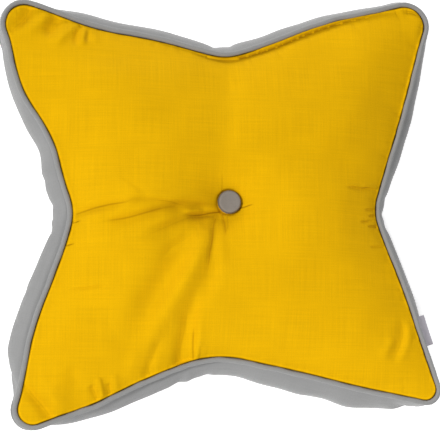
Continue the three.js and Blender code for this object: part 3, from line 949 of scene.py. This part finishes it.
def band_shape():
    """Rows of points of the band, as wide as measured, with its folds. Also its own flat coordinates."""
    cut = CUTS["band"]
    rows = cut["points"].reshape(BAND_ROWS, COUNT, 3)
    stand = ((rows[..., :2] - LINE["place"]) * LINE["out"]).sum(2) - SEAM_OFFSET - BAND_EDGE
    reach = closed_smooth(stand.max(0), 6)
    factor = np.clip(LINE["swell"] / np.maximum(reach, 1 * MM), 0.4, 1.8)
    bell = np.sin(np.pi * np.linspace(0, 1, BAND_ROWS))[:, None]
    move = stand * (factor - 1) * np.minimum(1, bell * 3)
    share = np.linspace(0, 1, BAND_ROWS)[:, None]
    random = np.random.default_rng(11)
    for x, y, lean, depth, width, middle, half in BAND_FOLDS:
        at = LINE["along"][np.linalg.norm(LINE["place"] - MIDDLE - np.array([x, y]) * MM, axis=1).argmin()]
        offset = wrapped(LINE["along"][None] - at - lean * MM * (share - 0.5), LINE["length"])
        window = hump(share - middle, half) ** 1.5 * np.minimum(1, bell * 2)
        move -= depth * MM * hump(offset, width * MM) * window
    flat_along = np.broadcast_to(LINE["along"], stand.shape)
    for edge in (share, 1 - share):
        away = np.broadcast_to(edge * BAND_HEIGHT, stand.shape)
        gathers = pucker_heights(random, flat_along.ravel(), away.ravel(), LINE["length"], *BAND_GATHERS)
        move += gathers.reshape(stand.shape) * np.minimum(1, bell * 4)
    move += line_noise(random, LINE["along"], LINE["length"], 12, 40) * 0.5 * MM * bell
    rows = rows.copy()
    rows[..., :2] += move[..., None] * LINE["out"]
    flat = np.stack([flat_along, np.broadcast_to(share * BAND_HEIGHT, stand.shape)], 2)
    return rows.reshape(-1, 3), flat.reshape(-1, 2)


BASE_PLEATS = (
    (35, 150, 2.2, 9),
    (98, 130, 1.6, 8),
    (141, 165, 2.4, 10),
    (187, 140, 1.6, 8),
    (229, 170, 2.2, 9),
    (262, 120, 1.5, 7),
    (318, 160, 2.0, 9),
    (12, 100, 1.2, 7),
)


def base_shape():
    """The base after its simulation: pleats round the back button, gathers at the seam, flat below."""
    points = CUTS["base"]["points"].copy()
    plan = points[:, :2]
    offset = plan - MIDDLE
    away = from_middle(plan)
    for degrees, reach, height, width in BASE_PLEATS:
        way = np.array([math.cos(math.radians(degrees)), math.sin(math.radians(degrees))])
        ahead = offset @ way
        aside = offset @ right_of(way)
        share = np.clip(ahead / (reach * MM), 0, 1)
        window = smoothstep(away, BACK_HOLLOW_SEAT, BACK_HOLLOW_SEAT + 12 * MM) * (1 - share) * (ahead > 0)
        points[:, 2] += height * MM * window * hump(aside, (width + 6 * share) * MM)
    station, gap = nearest_station(plan, LINE["place"])
    random = np.random.default_rng(5)
    gathers = pucker_heights(random, LINE["along"][station], gap, LINE["length"], *BASE_GATHERS)
    points[:, 2] -= gathers * smoothstep(gap, 4 * MM, 10 * MM)
    points[:, 2] = np.maximum(points[:, 2], 0)
    return points


def crown_shape(panel, ring):
    """The hidden top of the filling, a little under the panel, joined to the band's upper ring."""
    plan, faces = star_sheet(ring[:, :2], CROWN_SPACING)
    steps = ((0, 0), (1, 0), (-1, 0), (0, 1), (0, -1))
    heights = [cast(panel, plan + np.array(step) * CROWN_REACH) for step in steps]
    heights = np.array([np.where(np.isnan(h), HIGH_SEAM, h) for h in heights]).min(0)
    height = heights - PANEL_THICKNESS - CROWN_GAP
    height[:COUNT] = ring[:, 2]
    return np.column_stack([plan, height]), faces


def joined_body(panel):
    band, band_flat = band_shape()
    base = base_shape()
    crown, crown_faces = crown_shape(panel, band[-COUNT:])
    groove = seam_ring(LINE, GROOVE_OUT, LOW + GROOVE_HEIGHT)
    points = np.concatenate([band, groove, base, crown[COUNT:]])
    groove_at = len(band)
    base_at = groove_at + COUNT
    crown_at = base_at + len(base)
    faces = list(CUTS["band"]["faces"])
    faces += strip(base_at, groove_at, COUNT) + strip(groove_at, 0, COUNT)
    faces += [[base_at + v for v in face] for face in CUTS["base"]["faces"]]
    top = len(band) - COUNT
    faces += [[top + v if v < COUNT else crown_at + v - COUNT for v in face] for face in crown_faces]
    obj = new_object("grey_body", points, faces)
    flat = np.concatenate([band_flat, groove[:, :2], base[:, :2], crown[COUNT:, :2]])
    paint_uv(obj, flat)
    final_mesh(obj, 1)
    low = points_of(obj.data)
    low[:, 2] = np.maximum(low[:, 2], 0)
    set_points(obj.data, low)
    shade_smooth(obj)
    return obj


body = joined_body(panel)


# Piping, buttons and label

PIPING_STATIONS = 950
PIPING_SIDES = 14
PIPING_CREASES = 70


def piping(name, high, seed):
    random = np.random.default_rng(seed)
    share = np.arange(PIPING_STATIONS) / PIPING_STATIONS
    at = share * LINE["length"]
    known = np.append(LINE["along"], LINE["length"])

    def along_line(values):
        return np.interp(at, known, np.append(values, values[0]))

    place = np.stack([along_line(LINE["place"][:, k]) for k in (0, 1)], 1)
    side = unit(np.stack([along_line(LINE["out"][:, k]) for k in (0, 1)], 1))
    wander = line_noise(random, at, LINE["length"], 15, 60) * 0.22 * MM
    rise = line_noise(random, at, LINE["length"], 10, 50) * 0.2 * MM
    centre = np.column_stack([place + side * (SEAM_OFFSET + wander)[:, None], along_line(high) + rise])
    angle = 2 * math.pi * np.arange(PIPING_SIDES) / PIPING_SIDES
    thick = 1 + 0.025 * line_noise(random, at, LINE["length"], 30, 120)
    creases = np.zeros((PIPING_STATIONS, PIPING_SIDES))
    for _ in range(PIPING_CREASES):
        where = random.uniform(0, LINE["length"])
        slant = random.uniform(-2.0, 2.0) * MM
        wide = random.uniform(1.6, 3.5) * MM
        turn = random.uniform(0, 2 * math.pi)
        offset = wrapped(at[:, None] - where - slant * np.sin(angle - turn)[None], LINE["length"])
        facing = 0.5 + 0.5 * np.cos(angle - turn)[None]
        creases -= random.uniform(0.03, 0.09) * hump(offset, wide) * facing
    radius = PIPING_RADIUS * (thick[:, None] + creases)
    obj = tube(name, centre, side, PIPING_SIDES, radius)
    turned = np.stack(np.broadcast_arrays(at[:, None], angle[None] * PIPING_RADIUS), 2).reshape(-1, 2)
    bias = np.stack([turned[:, 0] + turned[:, 1], turned[:, 0] - turned[:, 1]], 1) * math.sqrt(0.5)
    paint_uv(obj, bias)
    shade_smooth(obj)
    return obj


top_piping = piping("upper_cord", HIGH, 21)
bottom_piping = piping("lower_cord", LOW, 22)

BUTTON_PROFILE = (
    (0.0, 0.88), (0.2, 0.885), (0.4, 0.91), (0.56, 0.945), (0.68, 0.98), (0.76, 1.0), (0.825, 0.985),
    (0.875, 0.92), (0.915, 0.80), (0.945, 0.64), (0.96, 0.46), (0.955, 0.28), (0.93, 0.14), (0.87, 0.03),
    (0.8, 0.0),
)
# Painted shade on the button's steep side wall, where it turns under the rim
BUTTON_EDGE_SHADE = 0.55
BUTTON_STEPS = 96


def button(name, node, upright=True):
    """A cloth-covered button: a dished disc with a round rim, its cloth gathered under the rim."""
    low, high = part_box(node)
    height = high.z - low.z
    random = np.random.default_rng(31 if upright else 32)
    angle = 2 * math.pi * np.arange(BUTTON_STEPS) / BUTTON_STEPS
    ripple = line_noise(random, angle, 2 * math.pi, 9, 23)
    dent = line_noise(random, angle, 2 * math.pi, 2, 5)
    middle = np.array([(low.x + high.x) / 2, (low.y + high.y) / 2])
    points = [(*middle, (0.90 if upright else 0.10) * height + low.z)]
    flat = [(0.0, 0.0)]
    shades = [0.0]
    for share, rise in BUTTON_PROFILE[1:]:
        gather = smoothstep(share + (0.5 - rise), 0.9, 1.4)
        radius = BUTTON_RADIUS * share * (1 - 0.004 + 0.004 * dent) + ripple * gather * 0.25 * MM
        radius = np.minimum(radius, BUTTON_RADIUS)
        level = rise - 0.012 * dent * share * (rise > 0.5)
        level = level if upright else 1 - level
        x = middle[0] + radius * np.cos(angle)
        y = middle[1] + radius * np.sin(angle)
        points += list(zip(x, y, low.z + np.clip(level, 0, 1) * height))
        spread = BUTTON_RADIUS * (share + max(0.0, 0.9 - rise) * (share > 0.9))
        flat += list(zip(spread * np.cos(angle), spread * np.sin(angle)))
        shades += [BUTTON_EDGE_SHADE * smoothstep(1 - rise, 0.04, 0.3) * (share > 0.8)] * BUTTON_STEPS
    faces = []
    rings = len(BUTTON_PROFILE) - 1
    for i in range(BUTTON_STEPS):
        j = (i + 1) % BUTTON_STEPS
        faces.append([0, 1 + i, 1 + j])
        for k in range(rings - 1):
            a, b = 1 + k * BUTTON_STEPS, 1 + (k + 1) * BUTTON_STEPS
            faces.append([a + i, b + i, b + j, a + j])
    faces.append([1 + (rings - 1) * BUTTON_STEPS + i for i in range(BUTTON_STEPS)][::-1])
    if not upright:
        faces = [f[::-1] for f in faces]
    obj = new_object(name, points, faces)
    paint_uv(obj, flat)
    # fold holds the painted shade of the side wall
    paint(obj, "fold", shades)
    final_mesh(obj, 1)
    shade_smooth(obj)
    return obj


upper_button = button("upper_button", "top_button")
lower_button = button("lower_button", "back_button", upright=False)

# The label, a folded tape sewn into the seam. Its section is out from the seam line and up from the seam.
LABEL_SIDE = 7
LABEL_SHARES = (0.232, 0.415)
LABEL_SECTION = ((2.7, -3.3), (7.2, -6.6), (12, -10), (16.6, -12.8))
LABEL_REACH = 17 * MM
LABEL_TAPE = 0.42 * MM
LABEL_LAYER = 0.36 * MM
LABEL_FLAT = (43 * MM, 34.5 * MM)
LABEL_COLUMNS = 36


def label():
    """A tape that leaves the seam, turns back on itself and goes in again, as one folded sheet."""
    middle = smooth_path(LABEL_SECTION, 5) * MM
    ahead = unit(np.gradient(middle, axis=0))
    across = -right_of(ahead)
    turn = np.linspace(0, math.pi, 9)[1:-1]
    fold = middle[-1] + LABEL_LAYER * (np.cos(turn)[:, None] * across[-1] + np.sin(turn)[:, None] * ahead[-1])
    route = np.concatenate([middle + LABEL_LAYER * across, fold, (middle - LABEL_LAYER * across)[::-1]])
    run = np.concatenate([[0], np.cumsum(np.linalg.norm(np.diff(route, axis=0), axis=1))])
    shares = np.linspace(*LABEL_SHARES, LABEL_COLUMNS)
    line = side_points(LABEL_SIDE, shares)
    outward = right_of(unit(np.gradient(line, axis=0)))
    seam = HIGH_SEAM + side_spread(LABEL_SIDE, shares) / 2
    far = np.clip(route[:, 0] / LABEL_REACH, 0, 1) ** 2
    wave = 0.35 * MM * np.sin(np.linspace(0, 2.4 * math.pi, LABEL_COLUMNS) + 0.6)
    plan = line[:, None] + MIDDLE + outward[:, None] * (SEAM_OFFSET + route[None, :, :1])
    height = seam[:, None] + route[None, :, 1] + wave[:, None] * far[None]
    points = np.concatenate([plan, height[..., None]], 2).reshape(-1, 3)
    rows = len(route)
    faces = []
    for i in range(LABEL_COLUMNS - 1):
        for k in range(rows - 1):
            a, b = i * rows + k, (i + 1) * rows + k
            faces.append((a, a + 1, b + 1, b))
    obj = new_object("side_tape", points, faces)
    width = np.linspace(0, LABEL_FLAT[0], LABEL_COLUMNS)
    paint_uv(obj, np.stack(np.broadcast_arrays(width[:, None], run[None]), 2).reshape(-1, 2))
    solid = obj.modifiers.new("Solidify", "SOLIDIFY")
    solid.thickness = LABEL_TAPE
    solid.offset = 0
    final_mesh(obj)
    shade_smooth(obj)
    return obj


tape = label()


# Materials

# How far from the seam its painted shade line and the painted highlight rim beside it fade, and how bright
# the painted highlight is
SEAM_SHADE_LINE = (0.3 * MM, 2.2 * MM)
SEAM_HIGHLIGHT_RIM = (2.6 * MM, 5 * MM)
RIM_HIGHLIGHT_TONE = 1.13
# The tone between the threads and on them, how high thick places in a thread stand out beside the weave,
# how many such places a metre of thread has, and the scales of the tone's clouds and specks
WEAVE_TONES = (0.78, 1.06)
SLUB_RELIEF = 0.35
ALONG_THREAD = 14.0
CLOUD_SCALE = 18.0
SPECK_SCALE = 600.0


def set_inputs(tree, node, values):
    """Gives the node's named or numbered inputs a value each, or a link from another node."""
    for name, value in values.items():
        if isinstance(value, bpy.types.NodeSocket):
            tree.links.new(value, node.inputs[name])
        else:
            node.inputs[name].default_value = value
    return node.outputs


def math_node(tree, operation, *values):
    node = tree.nodes.new("ShaderNodeMath")
    node.operation = operation
    return set_inputs(tree, node, dict(enumerate(values)))[0]


def product(tree, *values):
    total = values[0]
    for value in values[1:]:
        total = math_node(tree, "MULTIPLY", total, value)
    return total


def noise(tree, vector, scale, detail):
    node = tree.nodes.new("ShaderNodeTexNoise")
    return set_inputs(tree, node, {"Vector": vector, "Scale": scale, "Detail": detail})["Fac"]


def scaled(tree, vector, scale):
    return set_inputs(tree, tree.nodes.new("ShaderNodeMapping"), {"Vector": vector, "Scale": scale})[0]


def faded(tree, value, low, high, to_low, to_high):
    numbers = {"Value": value, "From Min": low, "From Max": high, "To Min": to_low, "To Max": to_high}
    return set_inputs(tree, tree.nodes.new("ShaderNodeMapRange"), numbers)[0]


def attribute(tree, name):
    node = tree.nodes.new("ShaderNodeAttribute")
    node.attribute_name = name
    return node.outputs["Fac"]


def new_material(name, values):
    material = bpy.data.materials.new(name)
    material.use_nodes = True
    tree = material.node_tree
    shader = tree.nodes["Principled BSDF"]
    set_inputs(tree, shader, values)
    return material, tree, shader


def cloth_material(name, colour, deep, pitch, relief, sheen, mottle, slub, seam_shade=1.0, rough=0.85):
    """Plain-woven cloth. deep is its colour where no light gets in. pitch is the distance between threads
    and relief their height, in millimetres. mottle is how much its tone varies, and slub that of threads."""
    values = {"Roughness": rough, "Sheen Weight": sheen, "Sheen Roughness": 0.5, "Specular IOR Level": 0.03}
    material, tree, shader = new_material(name, values)
    uv = tree.nodes.new("ShaderNodeUVMap")
    uv.uv_map = "cloth"
    place = uv.outputs[0]
    split = tree.nodes.new("ShaderNodeSeparateXYZ")
    tree.links.new(place, split.inputs[0])
    waves = []
    for axis in ("X", "Y"):
        angle = math_node(tree, "MULTIPLY", split.outputs[axis], math.pi / (pitch * MM))
        waves.append(math_node(tree, "SINE", angle))
    over = math_node(tree, "MULTIPLY", *waves)
    heights = []
    for wave, half in zip(waves, (0.5, -0.5)):
        rise = math_node(tree, "MULTIPLY_ADD", over, half, 0.5)
        heights.append(math_node(tree, "MULTIPLY", math_node(tree, "ABSOLUTE", wave), rise))
    weave = math_node(tree, "MAXIMUM", *heights)
    per_thread = 0.5 / (pitch * MM)
    warp = noise(tree, scaled(tree, place, (per_thread, ALONG_THREAD, 1.0)), 1.0, 1.0)
    weft = noise(tree, scaled(tree, place, (ALONG_THREAD, per_thread, 1.0)), 1.0, 1.0)
    threads = math_node(tree, "ADD", warp, weft)
    cloud = noise(tree, place, CLOUD_SCALE, 3.0)
    speck = noise(tree, place, SPECK_SCALE, 2.0)
    tones = [
        faded(tree, threads, 0.5, 1.5, 1 - slub, 1 + slub),
        faded(tree, cloud, 0.3, 0.7, 1 - mottle, 1 + mottle),
        faded(tree, speck, 0.3, 0.7, 1 - mottle, 1 + mottle),
        faded(tree, weave, 0.0, 1.0, *WEAVE_TONES),
    ]
    # Near the seam: a painted shade line, then a painted highlight rim beside it
    if seam_shade < 1:
        seam = attribute(tree, "seam")
        tones.append(faded(tree, seam, *SEAM_SHADE_LINE, seam_shade, 1.0))
        tones.append(faded(tree, seam, *SEAM_HIGHLIGHT_RIM, RIM_HIGHLIGHT_TONE, 1.0))
    # fold mixes the colour towards deep: painted shade in creases, hollows and under rims
    light = math_node(tree, "SUBTRACT", 1.0, attribute(tree, "fold"))
    shade = tree.nodes.new("ShaderNodeMix")
    shade.data_type = "VECTOR"
    shaded = set_inputs(tree, shade, {"Factor": light, "A": deep, "B": colour})["Result"]
    paint_node = tree.nodes.new("ShaderNodeVectorMath")
    paint_node.operation = "SCALE"
    painted = set_inputs(tree, paint_node, {0: shaded, "Scale": product(tree, *tones)})[0]
    height = math_node(tree, "MULTIPLY_ADD", threads, SLUB_RELIEF, weave)
    values = {"Distance": relief * MM, "Strength": 1.0, "Height": height}
    bump = set_inputs(tree, tree.nodes.new("ShaderNodeBump"), values)[0]
    set_inputs(tree, shader, {"Base Color": painted, "Normal": bump})
    return material


YELLOW = (0.665, 0.364, 0.001)
YELLOW_DEEP = (0.12, 0.03, 0.0)
GREY_DEEP = (0.01, 0.01, 0.01)
GREY = (0.243, 0.243, 0.241)
CORD_GREY = (0.245, 0.244, 0.24)
BUTTON_GREY = (0.215, 0.19, 0.165)
TAPE_GREY = (0.42, 0.40, 0.44)

LOOKS = {
    "yellow_cotton": cloth_material("panel_cloth", YELLOW, YELLOW_DEEP, 0.7, 0.10, 0.01, 0.03, 0.09, 0.08),
    "grey_cotton": cloth_material("band_cloth", GREY, GREY_DEEP, 0.7, 0.10, 0.35, 0.03, 0.05),
    "piping_cotton": cloth_material("cord_cloth", CORD_GREY, GREY_DEEP, 0.6, 0.08, 0.30, 0.03, 0.05),
    "button_cotton": cloth_material("button_cloth", BUTTON_GREY, GREY_DEEP, 0.6, 0.08, 0.15, 0.04, 0.06),
    "label_tape": cloth_material("tape_cloth", TAPE_GREY, GREY_DEEP, 0.35, 0.04, 0.05, 0.02, 0.03, rough=0.6),
}

PIECES = (
    (panel, "yellow_cotton", "top_panel"),
    (body, "grey_cotton", "filled_body"),
    (top_piping, "piping_cotton", "top_piping"),
    (bottom_piping, "piping_cotton", "bottom_piping"),
    (upper_button, "button_cotton", "top_button"),
    (lower_button, "button_cotton", "back_button"),
    (tape, "label_tape", "side_label"),
)
for piece, slot, node in PIECES:
    piece.data.materials.clear()
    piece.data.materials.append(LOOKS[slot])
    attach(piece, "root")
    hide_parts(node)


# Floor, light and camera


def floor():
    bpy.ops.mesh.primitive_plane_add(size=12, location=(0, 0, -0.1 * MM))
    obj = bpy.context.object
    obj.name = "floor"
    values = {"Base Color": (0.93, 0.93, 0.93, 1), "Roughness": 0.9, "Specular IOR Level": 0.1}
    glow = {"Emission Color": (1, 1, 1, 1), "Emission Strength": 0.5}
    obj.data.materials.append(new_material("pale_floor", values | glow)[0])


def soft_light(name, at, size, power):
    lamp = bpy.data.lights.new(name, "AREA")
    lamp.shape = "DISK"
    lamp.size = size
    lamp.energy = power
    obj = bpy.data.objects.new(name, lamp)
    obj.location = at
    obj.rotation_mode = "QUATERNION"
    obj.rotation_quaternion = (-Vector(at)).to_track_quat("-Z", "Y")
    bpy.context.scene.collection.objects.link(obj)


floor()
soft_light("key", (-5.1, 0.0, 6.1), 1.5, 520)
soft_light("front", (0.12, -0.9, 1.42), 0.5, 12)
soft_light("rim", (0.1, 3.0, 0.2), 1.2, 55)
world = bpy.data.worlds.new("studio")
world.use_nodes = True
background = world.node_tree.nodes["Background"]
set_inputs(world.node_tree, background, {"Color": (1, 1, 1, 1), "Strength": 0.28})
bpy.context.scene.world = world
bpy.context.scene.view_settings.view_transform = "Standard"

CAMERA_TARGET = Vector((MIDDLE[0] - 11.2257 * MM, MIDDLE[1] - 17.5757 * MM, HIGH_SEAM))
CAMERA_LEAN = (math.radians(10), math.radians(8.5))
CAMERA_DISTANCE = 2.0
PHOTO_WIDTH = 440
SENSOR = 36.0
PIXEL = 1.385 * MM


def photo_camera():
    back = Vector((-math.tan(CAMERA_LEAN[0]), -math.tan(CAMERA_LEAN[1]), 1)).normalized()
    right = (-back).cross(Vector((0, 1, 0))).normalized()
    up = right.cross(-back)
    lens = bpy.data.cameras.new("camera")
    lens.sensor_width = SENSOR
    lens.lens = SENSOR * CAMERA_DISTANCE / (PIXEL * PHOTO_WIDTH)
    lens.clip_start = 0.05
    obj = bpy.data.objects.new("camera", lens)
    obj.rotation_mode = "QUATERNION"
    obj.rotation_quaternion = Matrix((right, up, back)).transposed().to_quaternion()
    obj.location = CAMERA_TARGET + back * CAMERA_DISTANCE
    bpy.context.scene.collection.objects.link(obj)
    bpy.context.scene.camera = obj


photo_camera()

bpy.context.view_layer.update()
